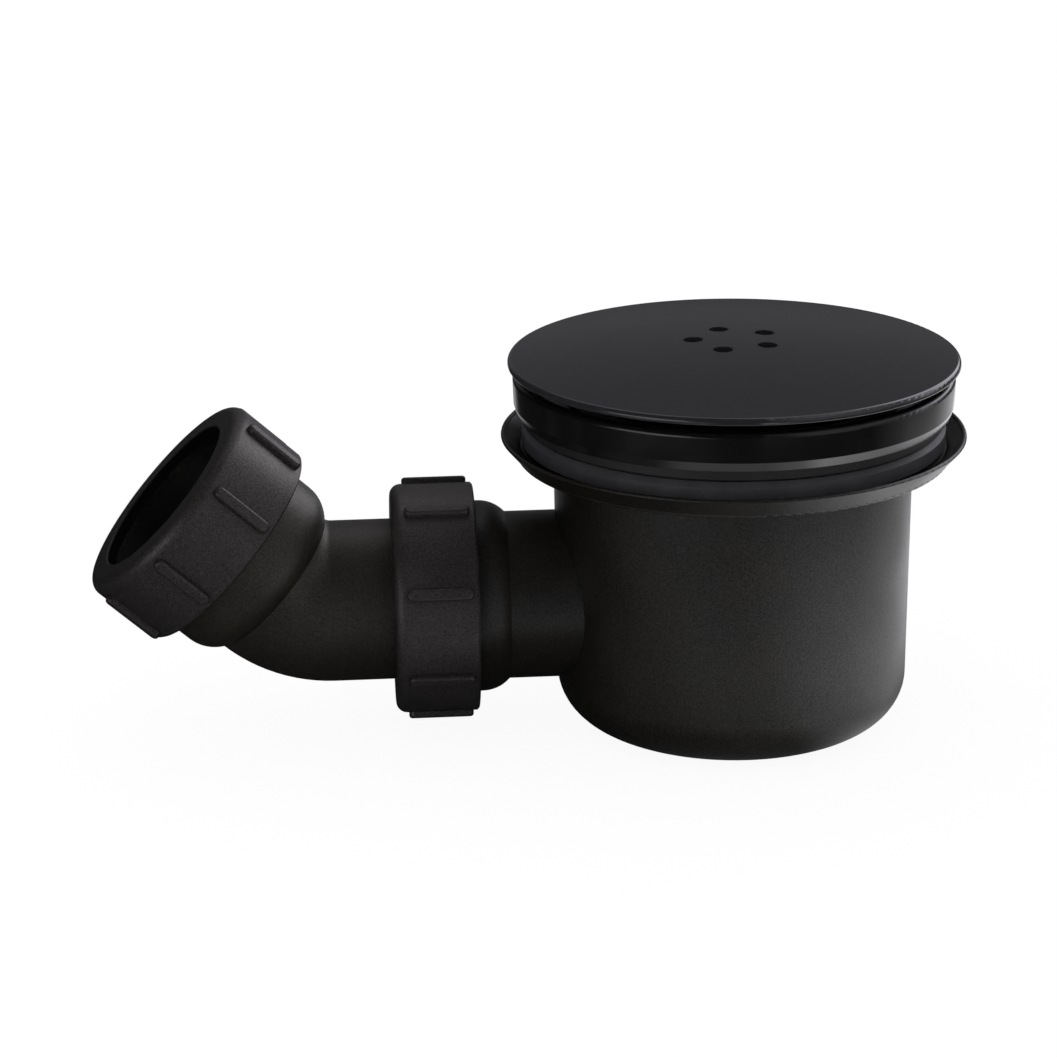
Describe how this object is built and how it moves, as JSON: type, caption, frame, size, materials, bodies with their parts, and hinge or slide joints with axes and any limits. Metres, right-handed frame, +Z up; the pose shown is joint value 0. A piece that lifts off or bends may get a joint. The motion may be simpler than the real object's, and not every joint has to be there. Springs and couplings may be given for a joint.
{
  "type": "shower waste trap",
  "caption": "Bucket-shaped shower waste trap with a round lift-off cover, a screw-in clamp flange and a swivelling angled outlet bend held by ribbed compression nuts.",
  "frame": {"origin": "middle of the trap's flat base, on the trap's axis", "axes": "+Z up along the trap's axis towards the cover, -X along the outlet; the bend's mouth points up and away at -X"},
  "size_m": [0.2213, 0.1172, 0.0995],
  "materials": {
    "trap_plastic": "satin moulded",
    "gasket_rubber": "smooth",
    "washer_rubber": "smooth",
    "flange_plastic": "polished",
    "insert_plastic": "satin moulded",
    "seal_rubber": "smooth",
    "cover_plastic": "dark polished",
    "nut_plastic": "moulded",
    "slip_plastic": "moulded",
    "bend_plastic": "satin moulded"
  },
  "bodies": {
    "trap": {"trap_body": "trap_plastic", "lower_gasket": "gasket_rubber"},
    "flange_washer": {"upper_washer": "washer_rubber"},
    "flange": {"clamp_flange": "flange_plastic"},
    "insert": {"dip_tube": "insert_plastic", "dip_tube_oring": "seal_rubber", "trap_cup": "insert_plastic"},
    "cover": {"cover_cap": "cover_plastic"},
    "bend": {"outlet_bend": "bend_plastic", "outlet_seal": "seal_rubber", "pipe_seal": "seal_rubber"},
    "outlet_slip": {"outlet_slip_washer": "slip_plastic"},
    "outlet_nut": {"outlet_nut": "nut_plastic"},
    "pipe_slip": {"pipe_slip_washer": "slip_plastic"},
    "pipe_nut": {"pipe_nut": "nut_plastic"}
  },
  "joints": [
    {"name": "flange_rise", "type": "slide", "parent": "trap", "child": "flange_washer", "axis": [0, 0, 1], "range_m": [0, 0.011]},
    {"name": "flange_turn", "type": "hinge", "parent": "flange_washer", "child": "flange", "pos_m": [0, 0, 0.082], "axis": [0, 0, 1], "range_deg": [0, 990]},
    {"name": "insert_lift", "type": "slide", "parent": "flange", "child": "insert", "axis": [0, 0, 1], "range_m": [0, 0.09]},
    {"name": "cover_lift", "type": "slide", "parent": "insert", "child": "cover", "axis": [0, 0, 1], "range_m": [0, 0.03]},
    {"name": "bend_swivel", "type": "hinge", "parent": "trap", "child": "bend", "pos_m": [-0.07, 0, 0.0336], "axis": [1, 0, 0], "continuous": true},
    {"name": "outlet_nut_travel", "type": "slide", "parent": "trap", "child": "outlet_slip", "axis": [-1, 0, 0], "range_m": [0, 0.0135]},
    {"name": "outlet_nut_turn", "type": "hinge", "parent": "outlet_slip", "child": "outlet_nut", "pos_m": [-0.0765, 0, 0.0336], "axis": [-1, 0, 0], "range_deg": [0, 1620]},
    {"name": "pipe_nut_travel", "type": "slide", "parent": "bend", "child": "pipe_slip", "axis": [-0.7302, -0.0536, 0.6812], "range_m": [0, 0.0135]},
    {"name": "pipe_nut_turn", "type": "hinge", "parent": "pipe_slip", "child": "pipe_nut", "pos_m": [-0.13615, -0.00185, 0.05707], "axis": [-0.7302, -0.0536, 0.6812], "range_deg": [0, 1620]}
  ],
  "couplings": [
    {"joint": "flange_rise", "follows": "flange_turn", "m_per_rad": 0.0006366},
    {"joint": "outlet_nut_travel", "follows": "outlet_nut_turn", "m_per_rad": 0.00047746},
    {"joint": "pipe_nut_travel", "follows": "pipe_nut_turn", "m_per_rad": 0.00047746}
  ]
}
